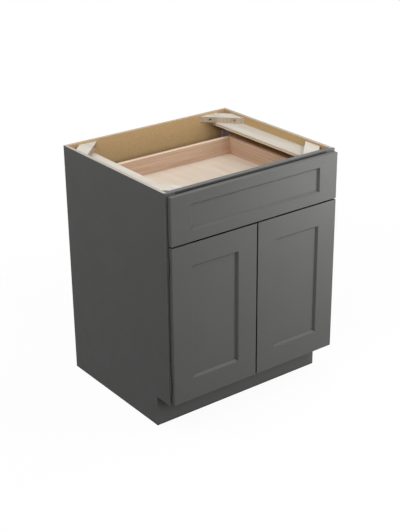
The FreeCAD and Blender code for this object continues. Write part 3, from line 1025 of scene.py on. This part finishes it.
@dataclass(frozen=True)
class Spot:
    """Where a fastener sits, the way it faces and how far it is turned."""

    seat: Vector
    out: Vector
    turn: float = 0.4

    @property
    def frame(self) -> Matrix:
        """The place of the fastener, with its height along the third axis."""
        facing = self.out.to_track_quat("Z", "Y").to_matrix().to_4x4()
        return Matrix.Translation(self.seat) @ facing @ Matrix.Rotation(self.turn, 4, "Z")


def close_rings(bm: bmesh.types.BMesh, rings: Sequence[Sequence[bmesh.types.BMVert]]) -> None:
    """Join rings of points into a closed skin with flat ends.

    Args:
        bm: The mesh.
        rings: The rings in order, all with the same number of points.
    """
    for lower, upper in zip(rings, rings[1:]):
        for side in range(len(lower)):
            bm.faces.new((lower[side - 1], lower[side], upper[side], upper[side - 1]))
    bm.faces.new(list(reversed(rings[0])))
    bm.faces.new(rings[-1])


def circle(sides: int) -> list[tuple[float, float]]:
    """Give evenly spaced points of a circle with a radius of one."""
    angles = [2 * math.pi * side / sides for side in range(sides)]
    return [(math.cos(angle), math.sin(angle)) for angle in angles]


@dataclass(frozen=True)
class ScrewHead:
    """A round screw head with a cross recess, whose shares are parts of its radius and rise."""

    radius: float
    rise: float
    sides: int = 32
    arm_share: float = 0.55
    arm_half_share: float = 0.13
    rim_share: float = 0.04
    slope_share: float = 0.15
    sink_share: float = 0.55

    def add(self, bm: bmesh.types.BMesh, spot: Spot) -> None:
        """Add one head to a mesh.

        Args:
            bm: The mesh.
            spot: Where the head's underside sits.
        """
        crown = [(1.0, 0.0), (1.0, 0.3), (0.93, 0.62), (0.78, 0.86), (self.arm_share + self.rim_share, 0.98),
                 (self.arm_share, 1.0), (0.38, 1.0), (0.22, 1.0), (0.12, 1.0)]
        rings = []
        for share, height in crown:
            points = [self.point(way, share, height) for way in circle(self.sides)]
            rings.append([bm.verts.new(spot.frame @ point) for point in points])
        close_rings(bm, rings)

    def point(self, way: tuple[float, float], share: float, height: float) -> Vector:
        """Give one point of the head, sunk where the cross recess is.

        Args:
            way: Where the point lies round the middle, along both arms.
            share: Its distance from the middle.
            height: Its height where there is no recess.

        Returns:
            The point in the head's own frame.
        """
        east, north = share * way[0], share * way[1]
        in_arm = min(abs(east), abs(north)) < self.arm_half_share
        if in_arm and share <= self.arm_share:
            height -= self.sink_share * min(1.0, (self.arm_share - share) / self.slope_share)
        return Vector((east * self.radius, north * self.radius, height * self.rise))


@dataclass(frozen=True)
class ScrewShank:
    """The threaded part of a screw."""

    radius: float = 2.0 * MM
    pitch: float = 1.8 * MM
    tip_radius: float = 0.2 * MM
    taper_radius: float = 1.2 * MM
    taper: float = 3.0 * MM
    first_turn: float = 4.0 * MM
    bare: float = 2.0 * MM
    root_share: float = 0.7
    neck_share: float = 0.8

    def profile(self, length: float) -> list[tuple[float, float]]:
        """Give the shank's profile, from its tip to the head.

        Args:
            length: The shank's length.

        Returns:
            Radius and height of each ring.
        """
        rings = [(self.tip_radius, 0.0), (self.taper_radius, self.taper)]
        height = self.first_turn
        while height < length - self.bare:
            rings += [(self.radius, height), (self.radius * self.root_share, height + self.pitch / 2)]
            height += self.pitch
        return rings + [(self.radius * self.neck_share, length)]


def lathe(bm: bmesh.types.BMesh, profile: Sequence[tuple[float, float]], foot: Spot, sides: int = 28) -> None:
    """Add a turned solid to a mesh.

    Args:
        bm: The mesh.
        profile: Radius and height of each ring, from the foot up; the ends are closed flat.
        foot: Where height is zero, and the way that it grows.
        sides: Number of sides.
    """
    rings = []
    for radius, height in profile:
        points = [Vector((radius * east, radius * north, height)) for east, north in circle(sides)]
        rings.append([bm.verts.new(foot.frame @ point) for point in points])
    close_rings(bm, rings)


def wire(bm: bmesh.types.BMesh, path: Sequence[Vector], radius: float, sides: int = 8) -> None:
    """Add a bent wire to a mesh, mitred at its corners.

    Args:
        bm: The mesh.
        path: The corners that the wire's middle follows, in one plane.
        radius: The wire's radius.
        sides: Number of sides.
    """
    runs = [(end - start).normalized() for start, end in zip(path, path[1:])]
    third = (path[-1] - path[0]).normalized().cross(runs[0])
    rings = []
    for point, before, after in zip(path, runs[:1] + runs, runs + runs[-1:]):
        mitre = (before + after).normalized()
        side_way = third.cross(before).normalized()
        ring = []
        for east, north in circle(sides):
            offset = (third * east + side_way * north) * radius
            slide = -offset.dot(mitre) / before.dot(mitre)
            ring.append(bm.verts.new(point + offset + before * slide))
        rings.append(ring)
    close_rings(bm, rings)


@dataclass
class FramedFront:
    """A door or drawer front: stiles and rails round a recessed panel."""

    workshop: Workshop
    name: str
    finish: Finish = GREY_PAINT
    # The left stile takes the paint that has more painted shade along its edge.
    left_stile_finish: Finish = EDGE_PAINT
    outer_edge: float = 0.5 * MM
    moulding_edge: float = 0.2 * MM
    shortest_panel_edge: float = 20.0 * MM

    def build(self) -> None:
        """Dress the five boards of the front."""
        boards = {"left_stile": Axis.HEIGHT, "right_stile": Axis.HEIGHT,
                  "top_rail": Axis.WIDTH, "bottom_rail": Axis.WIDTH}
        room = Box.around(f"{self.name}_{board}" for board in boards)
        for board, along in boards.items():
            finish = self.left_stile_finish if board == "left_stile" else self.finish
            easings = frame_easings(room, along, self.outer_edge, self.moulding_edge)
            self.workshop.dress(f"{self.name}_{board}", Treatment.PAINTED, finish, easings)
        panel_edges = Easing(longer_than(self.shortest_panel_edge), self.moulding_edge, 1)
        self.workshop.dress(f"{self.name}_panel", Treatment.PAINTED, self.finish, [panel_edges])


@dataclass
class FaceFrame:
    """Stiles and rails on the front of the carcass, with the bumpers that the fronts close on."""

    workshop: Workshop
    stile_finish: Finish = STILE_PAINT
    rail_finish: Finish = FRAME_PAINT
    outer_edge: float = 0.5 * MM
    opening_edge: float = 0.3 * MM
    bumper_radius: float = 4.0 * MM
    bumper_rise: float = 1.7 * MM

    def build(self) -> None:
        """Dress the frame and its bumpers."""
        boards = {"left_stile": Axis.HEIGHT, "right_stile": Axis.HEIGHT, "top_rail": Axis.WIDTH,
                  "middle_rail": Axis.WIDTH, "bottom_rail": Axis.WIDTH}
        room = Box.around(boards)
        for board, along in boards.items():
            finish = self.stile_finish if along is Axis.HEIGHT else self.rail_finish
            easings = frame_easings(room, along, self.outer_edge, self.opening_edge)
            self.workshop.dress(board, Treatment.PAINTED, finish, easings)
        self.add_bumpers()

    def add_bumpers(self) -> None:
        """Replace the plain discs with domed bumpers."""
        dome = [(1.0, 0.0), (1.0, 0.28), (0.95, 0.52), (0.82, 0.76), (0.58, 0.93), (0.28, 1.0), (0.04, 1.0)]
        profile = [(share * self.bumper_radius, height * self.bumper_rise) for share, height in dome]
        bm = bmesh.new()
        for disc in self.workshop.solids("front_bumpers"):
            foot = Vector((disc.middle.x, disc.high.y, disc.middle.z))
            lathe(bm, profile, Spot(foot, Vector((0, -1, 0)), 0.0))
        self.workshop.place("front_bumper_domes", bm, "front_bumpers", BUMPER_RUBBER, stands_for=True)


@dataclass
class Carcass:
    """Sides, back, deck, toe board, braces, corner blocks and posts."""

    workshop: Workshop
    board_edge: float = 0.5 * MM
    block_edge: float = 1.0 * MM
    shortest_edge: float = 15.0 * MM
    brace_ply: float = 4.0 * MM
    panel_ply: float = 2.54 * MM
    block_head: ScrewHead = ScrewHead(4.0 * MM, 2.5 * MM)
    block_shank: ScrewShank = ScrewShank()
    shank_sides: int = 16
    post_head: ScrewHead = ScrewHead(4.0 * MM, 1.6 * MM)
    post_screw_heights: tuple[float, float] = (0.290, 0.370)
    post_screw_turn: float = 0.4
    side_staples: int = 9
    deck_staples: int = 6
    staple_inset: float = 3.2 * MM
    staple_crown: float = 9.0 * MM
    staple_leg: float = 4.0 * MM
    staple_radius: float = 0.6 * MM

    def build(self) -> None:
        """Dress the boards, then add their fasteners."""
        self.dress_sides()
        self.dress_boards()
        self.add_block_screws()
        self.add_post_screws()
        self.add_back_staples()

    def long_edges(self, width: float) -> list[Easing]:
        """Give the easing of a plain board's long edges."""
        return [Easing(longer_than(self.shortest_edge), width)]

    def dress_sides(self) -> None:
        """Dress both sides, painted outside only."""
        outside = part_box("right_side_panel")[1].x
        for side, sign in (("left", -1), ("right", 1)):
            wood = PlyFinish(GOLDEN_FACE, SIDE_EDGE, Axis.WIDTH, sign * outside, self.panel_ply)
            finish = PaintedPlyFinish(f"{side}_side_paint_and_ply", SHADED_SIDE_PAINT, wood, outside)
            edges = self.long_edges(self.board_edge)
            self.workshop.dress(f"{side}_side_panel", Treatment.PAINTED, finish, edges)

    def dress_boards(self) -> None:
        """Dress the back, deck, toe board, braces, corner blocks and the posts of the tray slides."""
        back = PlyFinish(BACK_FACE, BACK_EDGE, Axis.DEPTH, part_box("back_panel")[0].y, self.panel_ply)
        deck = PlyFinish(DECK_FACE, DECK_EDGE, Axis.HEIGHT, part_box("bottom_panel")[0].z, self.panel_ply)
        brace = PlyFinish(BRACE_FACE, BRACE_EDGE, Axis.HEIGHT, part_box("left_side_brace")[0].z, self.brace_ply)
        boards = (
            ("back_panel", Treatment.LACQUERED, back, self.board_edge),
            ("bottom_panel", Treatment.LACQUERED, deck, self.board_edge),
            ("toe_kick_board", Treatment.PAINTED, GREY_PAINT, self.board_edge),
            ("left_side_brace", Treatment.SANDED, brace, self.board_edge),
            ("right_side_brace", Treatment.SANDED, brace, self.board_edge),
            ("corner_blocks", Treatment.SANDED, BLOCK_WOOD, self.block_edge),
            ("tray_slide_posts", Treatment.SANDED, POST_WOOD, self.block_edge),
        )
        for node, treatment, finish, edge in boards:
            self.workshop.dress(node, treatment, finish, self.long_edges(edge))

    def add_block_screws(self) -> None:
        """Replace the plain corner screws with threaded ones that have a cross recess."""
        bm = bmesh.new()
        for room in self.workshop.solids("corner_block_screws"):
            size = room.high - room.low
            along = max(range(3), key=lambda axis: size[axis])
            out = Vector((0, 0, 0))
            out[along] = -math.copysign(1.0, room.middle[along])
            tip = room.middle - out * (size[along] / 2)
            length = size[along] - self.block_head.rise
            lathe(bm, self.block_shank.profile(length), Spot(tip, out, 0.0), self.shank_sides)
            self.block_head.add(bm, Spot(tip + out * length, out))
        name = "corner_block_screws_driven"
        self.workshop.place(name, bm, "corner_block_screws", SCREW_STEEL, stands_for=True)

    def add_post_screws(self) -> None:
        """Screw the posts of the tray slides to the cabinet sides."""
        spots = []
        for post in self.workshop.solids("tray_slide_posts"):
            sign = math.copysign(1.0, post.middle.x)
            face = min(abs(post.low.x), abs(post.high.x))
            for height in self.post_screw_heights:
                seat = Vector((sign * face, post.middle.y, height))
                spots.append(Spot(seat, Vector((-sign, 0, 0)), self.post_screw_turn + height))
        self.workshop.fasten("tray_post_screws", "tray_slide_posts", self.post_head, spots)

    def add_back_staples(self) -> None:
        """Staple the back to the sides and to the deck."""
        low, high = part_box("back_panel")
        bm = bmesh.new()
        side_x = high.x - self.staple_inset
        for index in range(self.side_staples):
            height = low.z + (high.z - low.z) * (index + 0.5) / self.side_staples
            for sign in (-1, 1):
                self.add_staple(bm, Vector((sign * side_x, high.y, height)), Vector((0, 0, 1)))
        deck = (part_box("bottom_panel")[0].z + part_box("bottom_panel")[1].z) / 2
        for index in range(self.deck_staples):
            x = -side_x + 2 * side_x * (index + 1) / (self.deck_staples + 1)
            self.add_staple(bm, Vector((x, high.y, deck)), Vector((1, 0, 0)))
        self.workshop.place("back_staples", bm, "back_panel", SCREW_STEEL)

    def add_staple(self, bm: bmesh.types.BMesh, middle: Vector, along: Vector) -> None:
        """Add one staple, its crown just proud of the back.

        Args:
            bm: The mesh.
            middle: The middle of the crown, on the back's face.
            along: The way that the crown runs.
        """
        leg = Vector((0, -self.staple_leg, 0))
        half = along * (self.staple_crown / 2)
        wire(bm, [middle - half + leg, middle - half, middle + half, middle + half + leg], self.staple_radius)


@dataclass
class DovetailBox:
    """The drawer box or a tray: dovetailed sides, front and back round a grooved-in bottom."""

    workshop: Workshop
    name: str
    top_round: float = 2.0 * MM
    fine_edge: float = 0.3 * MM
    shortest_fine_edge: float = 15.0 * MM
    board_thick: float = 15.9 * MM
    corner_space: float = 2.0 * MM
    level: float = 0.02
    upright: float = 0.9
    bottom_ply: float = 2.1 * MM

    def build(self) -> None:
        """Dress the four boards and the bottom."""
        boards = {"left_side": Axis.DEPTH, "right_side": Axis.DEPTH, "front": Axis.WIDTH, "back": Axis.WIDTH}
        room = Box.around(f"{self.name}_{board}" for board in boards)
        is_long = longer_than(self.shortest_fine_edge)
        woods = {way: replace(BOX_WOOD, name=f"rosy_box_wood_along_{way.name.lower()}", grain=way)
                 for way in (Axis.DEPTH, Axis.WIDTH)}
        for board, along in boards.items():
            easings = [
                Easing(lambda edge, way=along: self.is_top(edge, room, way), self.top_round, 3),
                Easing(lambda edge: room.outline(edge) and is_long(edge), self.fine_edge, 1),
            ]
            self.workshop.dress(f"{self.name}_{board}", Treatment.SANDED, woods[along], easings)
        bottom_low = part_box(f"{self.name}_bottom")[0].z
        face = replace(BOX_BOTTOM_FACE, name=f"{self.name}_bottom_ply")
        bottom = PlyFinish(face, BOX_BOTTOM_EDGE, Axis.HEIGHT, bottom_low, self.bottom_ply)
        self.workshop.dress(f"{self.name}_bottom", Treatment.SANDED, bottom, [])

    def is_top(self, edge: bmesh.types.BMEdge, room: Box, along: Axis) -> bool:
        """Say whether an edge is one of a board's long top edges, a finger scoop's included.

        Args:
            edge: The edge.
            room: The box around the whole drawer box or tray.
            along: The way that the board runs.

        Returns:
            Whether the edge is rounded over.
        """
        top = (Axis.HEIGHT.value, 1)
        if runs_along(edge, along) and all(top in room.planes(vertex.co) for vertex in edge.verts):
            return True
        if along is not Axis.WIDTH:
            return False
        inner = room.high.x - self.board_thick - self.corner_space
        if any(abs(vertex.co.x) > inner for vertex in edge.verts):
            return False
        rises = [face.normal.z for face in edge.link_faces]
        faces_out = [abs(face.normal.y) for face in edge.link_faces]
        return max(rises) > self.level and max(faces_out) > self.upright and min(rises) > -self.level


@dataclass
class FrontFixing:
    """The screws that hold the drawer front, driven from inside the drawer box."""

    workshop: Workshop
    reach: float = 200.0 * MM
    rises: tuple[float, float] = (0.4, 0.78)
    turn_by_rise: float = 5.0
    head: ScrewHead = ScrewHead(5.0 * MM, 2.0 * MM)

    def build(self) -> None:
        """Drive the screws."""
        low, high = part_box("drawer_box_front")
        spots = []
        for x in (-self.reach, self.reach):
            for rise in self.rises:
                seat = Vector((x, high.y, low.z + rise * (high.z - low.z)))
                spots.append(Spot(seat, Vector((0, 1, 0)), self.turn_by_rise * rise + x))
        self.workshop.fasten("drawer_front_screws", "drawer_box_front", self.head, spots)


@dataclass
class SlideSet:
    """The slides of one drawer or tray."""

    workshop: Workshop
    name: str
    end_inset: float
    member_edge: float = 0.3 * MM
    shortest_edge: float = 20.0 * MM
    gauge: float = 1.2 * MM
    thick: float = 12.7 * MM
    turn_by_depth: float = 3.0
    head: ScrewHead = ScrewHead(3.6 * MM, 1.5 * MM)

    def build(self) -> None:
        """Dress the three members of both slides, then screw the outer two down."""
        edges = Easing(longer_than(self.shortest_edge), self.member_edge)
        for member in Member:
            self.workshop.dress(self.node(member), Treatment.PLATED, ZINC, [edges])
        low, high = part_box(self.node(Member.CABINET))
        ends = (low.y + self.end_inset, high.y - self.end_inset)
        self.add_screws(Member.CABINET, high.x - self.gauge, -1, ends)
        middle = (low.y + high.y) / 2
        self.add_screws(Member.BOX, high.x - self.thick + self.gauge, 1, (ends[0], middle, ends[1]))

    def node(self, member: Member) -> str:
        """Give the CAD node of one member of both slides."""
        return f"{self.name}_slide_{member.value}_members"

    def add_screws(self, member: Member, reach: float, facing: int, places: Iterable[float]) -> None:
        """Screw one member of both slides down.

        Args:
            member: Which member.
            reach: Distance of its web's face from the middle of the cabinet.
            facing: One where the heads face outward, minus one where they face inward.
            places: Where the screws sit along the depth.
        """
        node = self.node(member)
        low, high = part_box(node)
        height = (low.z + high.z) / 2
        spots = []
        for sign in (-1, 1):
            out = Vector((sign * facing, 0, 0))
            for y in places:
                spots.append(Spot(Vector((sign * reach, y, height)), out, self.turn_by_depth * y + sign))
        self.workshop.fasten(f"{self.name}_slide_{member.value}_screws", node, self.head, spots)


@dataclass
class Ironwork:
    """Hinges and rear brackets."""

    workshop: Workshop
    bracket_edge: float = 0.4 * MM
    shortest_bracket_edge: float = 8.0 * MM
    bracket_gauge: float = 1.5 * MM
    bracket_screw_insets: tuple[float, float] = (11.0 * MM, 24.0 * MM)
    bracket_screw_drop: float = 8.5 * MM
    bracket_turn_by_inset: float = 90.0
    leaf_thick: float = 0.8 * MM
    leaf_screw_spread: float = 40.0 * MM
    leaf_screw_turn: float = 0.3
    leaf_head: ScrewHead = ScrewHead(3.4 * MM, 0.16 * MM)
    bracket_head: ScrewHead = ScrewHead(3.6 * MM, 1.6 * MM)

    def build(self) -> None:
        """Dress the hinges and the brackets, then add their screws."""
        for node in ("hinge_frame_leaves", "left_door_hinge_leaves", "right_door_hinge_leaves", "hinge_pins"):
            self.workshop.dress(node, Treatment.LACQUERED, HINGE_LACQUER, [])
        edges = Easing(longer_than(self.shortest_bracket_edge), self.bracket_edge)
        self.workshop.dress("slide_rear_brackets", Treatment.PLATED, BRACKET_STEEL, [edges])
        leaf_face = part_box("hinge_frame_leaves")[1].y - self.leaf_thick
        self.add_leaf_screws("hinge_frame_leaves", leaf_face, Vector((0, -1, 0)))
        for door in ("left_door", "right_door"):
            leaf_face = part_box(f"{door}_left_stile")[1].y + self.leaf_thick
            self.add_leaf_screws(f"{door}_hinge_leaves", leaf_face, Vector((0, 1, 0)))
        self.add_bracket_screws()

    def add_leaf_screws(self, node: str, face: float, out: Vector) -> None:
        """Screw some hinge leaves down, nearly flush.

        Args:
            node: The leaves' CAD node.
            face: Where their open face is along the depth.
            out: The way that the face looks.
        """
        spots = []
        for leaf in self.workshop.solids(node):
            for shift in (-0.5, 0.5):
                height = leaf.middle.z + shift * self.leaf_screw_spread
                spots.append(Spot(Vector((leaf.middle.x, face, height)), out, self.leaf_screw_turn + shift))
        self.workshop.fasten(f"{node}_screws", node, self.leaf_head, spots)

    def add_bracket_screws(self) -> None:
        """Screw each rear bracket's leg to the cabinet side."""
        spots = []
        for bracket in self.workshop.solids("slide_rear_brackets"):
            sign = math.copysign(1.0, bracket.middle.x)
            reach = max(abs(bracket.low.x), abs(bracket.high.x)) - self.bracket_gauge
            height = bracket.high.z - self.bracket_screw_drop
            for inset in self.bracket_screw_insets:
                seat = Vector((sign * reach, bracket.high.y - inset, height))
                spots.append(Spot(seat, Vector((-sign, 0, 0)), self.bracket_turn_by_inset * inset))
        self.workshop.fasten("slide_rear_bracket_screws", "slide_rear_brackets", self.bracket_head, spots)


@dataclass(frozen=True)
class SoftBox:
    """A square studio light."""

    name: str
    place: tuple[float, float, float]
    aim: tuple[float, float, float]
    size: float
    watts: float

    def build(self) -> None:
        """Hang the light."""
        light = bpy.data.lights.new(self.name, "AREA")
        light.shape = "SQUARE"
        light.size = self.size
        light.energy = self.watts
        lamp = bpy.data.objects.new(self.name, light)
        lamp.location = self.place
        way = Vector(self.aim) - Vector(self.place)
        lamp.rotation_euler = way.to_track_quat("-Z", "Y").to_euler()
        lamp.visible_camera = False
        bpy.context.scene.collection.objects.link(lamp)


@dataclass
class Studio:
    """White floor and background, soft light and the camera."""

    floor_half: float = 30.0
    floor_squares: int = 4
    floor_drop: float = 0.3 * MM
    floor_bounce: float = 0.15
    floor_white: float = 0.95
    glow_near: float = 0.94
    glow_reach: tuple[float, float] = (0.5, 2.2)
    camera_place: tuple[float, float, float] = (-2.307863, -3.085278, 2.177261)
    yaw: float = 0.641054
    pitch: float = 0.426394
    roll: float = -0.011091
    focal_pixels: float = 1173.136
    image_height: int = 532
    sensor: float = 36.0
    clip: tuple[float, float] = (0.05, 200.0)
    lights: tuple[SoftBox, ...] = (
        SoftBox("right_key", (1.1, -1.2, 0.5), (0.2, -0.3, 0.4), 0.6, 8.8),
        SoftBox("right_spot", (0.55, -0.85, 1.0), (0.33, -0.315, 0.85), 0.3, 2.75),
        SoftBox("front_top", (-0.3, -2.6, 1.9), (0.0, 0.0, 0.7), 1.5, 21.3),
        SoftBox("front_high", (0.5, -1.1, 2.0), (0.1, -0.3, 0.6), 0.5, 5.6),
        SoftBox("front_left", (-1.0, -2.8, 1.9), (0.0, 0.0, 0.7), 1.0, 17.0),
        SoftBox("overhead", (0.0, 0.1, 2.2), (0.0, 0.1, 0.8), 1.0, 6.3),
        SoftBox("overhead_left", (-1.6, 0.2, 2.8), (0.0, 0.0, 0.8), 2.2, 49.0),
        SoftBox("overhead_right", (1.6, 0.2, 2.8), (0.0, 0.0, 0.8), 2.2, 18.0),
        SoftBox("back_fill", (0.3, 2.8, 0.45), (0.0, 0.3, 0.45), 0.8, 34.0),
    )

    def build(self) -> None:
        """Set the stage."""
        bpy.context.scene.view_settings.view_transform = "Standard"
        self.lay_floor()
        self.light_world()
        for light in self.lights:
            light.build()
        self.set_camera()

    @staticmethod
    def seen_directly(graph: Graph) -> Socket:
        """Give one where a ray comes from the camera, a mirror or glass, and zero elsewhere.

        Args:
            graph: The graph of the floor or the world.

        Returns:
            The mask.
        """
        path = graph.node("ShaderNodeLightPath", {})
        mirrored = graph.maths("MAXIMUM", path.outputs["Is Glossy Ray"], path.outputs["Is Transmission Ray"])
        return graph.maths("MAXIMUM", path.outputs["Is Camera Ray"], mirrored)

    def lay_floor(self) -> None:
        """Lay a white floor that keeps a soft shadow."""
        bm = bmesh.new()
        bmesh.ops.create_grid(bm, x_segments=self.floor_squares, y_segments=self.floor_squares,
                              size=self.floor_half)
        mesh = bpy.data.meshes.new("studio_floor")
        bm.to_mesh(mesh)
        bm.free()
        floor = bpy.data.objects.new("studio_floor", mesh)
        floor.location.z = -self.floor_drop
        bpy.context.scene.collection.objects.link(floor)
        material = bpy.data.materials.new("white_floor")
        material.use_nodes = True
        graph = Graph(material.node_tree)
        seen = self.seen_directly(graph)
        tone = graph.between(seen, self.floor_bounce, self.floor_white)
        matte = graph.node("ShaderNodeBsdfDiffuse", {"Color": graph.joined(tone, tone, tone)})
        glow = graph.node("ShaderNodeEmission", {"Color": WHITE, "Strength": 1.0})
        spot = graph.coordinates()["Object"]
        away = graph.node("ShaderNodeVectorMath", {0: spot}, operation="LENGTH").outputs["Value"]
        near, far = self.glow_reach
        share = graph.maths("MULTIPLY", seen, graph.span(away, near, far, self.glow_near, 1.0))
        mixed = graph.node("ShaderNodeMixShader", {0: share, 1: matte.outputs[0], 2: glow.outputs[0]})
        graph.node("ShaderNodeOutputMaterial", {"Surface": mixed.outputs[0]})
        mesh.materials.append(material)

    def light_world(self) -> None:
        """Show the room white, and leave the lighting to the lamps."""
        world = bpy.data.worlds.new("white_room")
        world.use_nodes = True
        graph = Graph(world.node_tree)
        room = graph.node("ShaderNodeBackground", {"Color": WHITE, "Strength": self.seen_directly(graph)})
        graph.node("ShaderNodeOutputWorld", {"Surface": room.outputs[0]})
        bpy.context.scene.world = world

    def set_camera(self) -> None:
        """Stand the camera where the photograph was taken."""
        forward = Vector((math.sin(self.yaw), math.cos(self.yaw), 0.0))
        ahead = forward * math.cos(self.pitch) - Vector((0.0, 0.0, math.sin(self.pitch)))
        right = Vector((forward.y, -forward.x, 0.0))
        up = right.cross(ahead)
        level = right * math.cos(self.roll) + up * math.sin(self.roll)
        upright = up * math.cos(self.roll) - right * math.sin(self.roll)
        turn = Matrix((level, upright, -ahead)).transposed().to_4x4()
        data = bpy.data.cameras.new("photo_camera")
        data.sensor_width = self.sensor
        data.lens = self.focal_pixels * self.sensor / self.image_height
        data.clip_start, data.clip_end = self.clip
        camera = bpy.data.objects.new("photo_camera", data)
        camera.matrix_world = Matrix.Translation(self.camera_place) @ turn
        bpy.context.scene.collection.objects.link(camera)
        bpy.context.scene.camera = camera


def main() -> None:
    """Load the frame, dress every sub-assembly and set the studio round it."""
    logging.basicConfig(level=logging.INFO, format="%(name)s: %(message)s")
    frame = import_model()
    workshop = Workshop(frame["nodes"], MaterialShelf())
    Carcass(workshop).build()
    FaceFrame(workshop).build()
    for name in ("drawer_front", "left_door", "right_door"):
        FramedFront(workshop, name).build()
    for name in ("drawer_box", "upper_tray", "lower_tray"):
        DovetailBox(workshop, name).build()
    FrontFixing(workshop).build()
    insets = {"drawer": DRAWER_SLIDE_INSET, "upper_tray": TRAY_SLIDE_INSET, "lower_tray": TRAY_SLIDE_INSET}
    for name, inset in insets.items():
        SlideSet(workshop, name, inset).build()
    Ironwork(workshop).build()
    Studio().build()


if __name__ == "__main__":
    main()
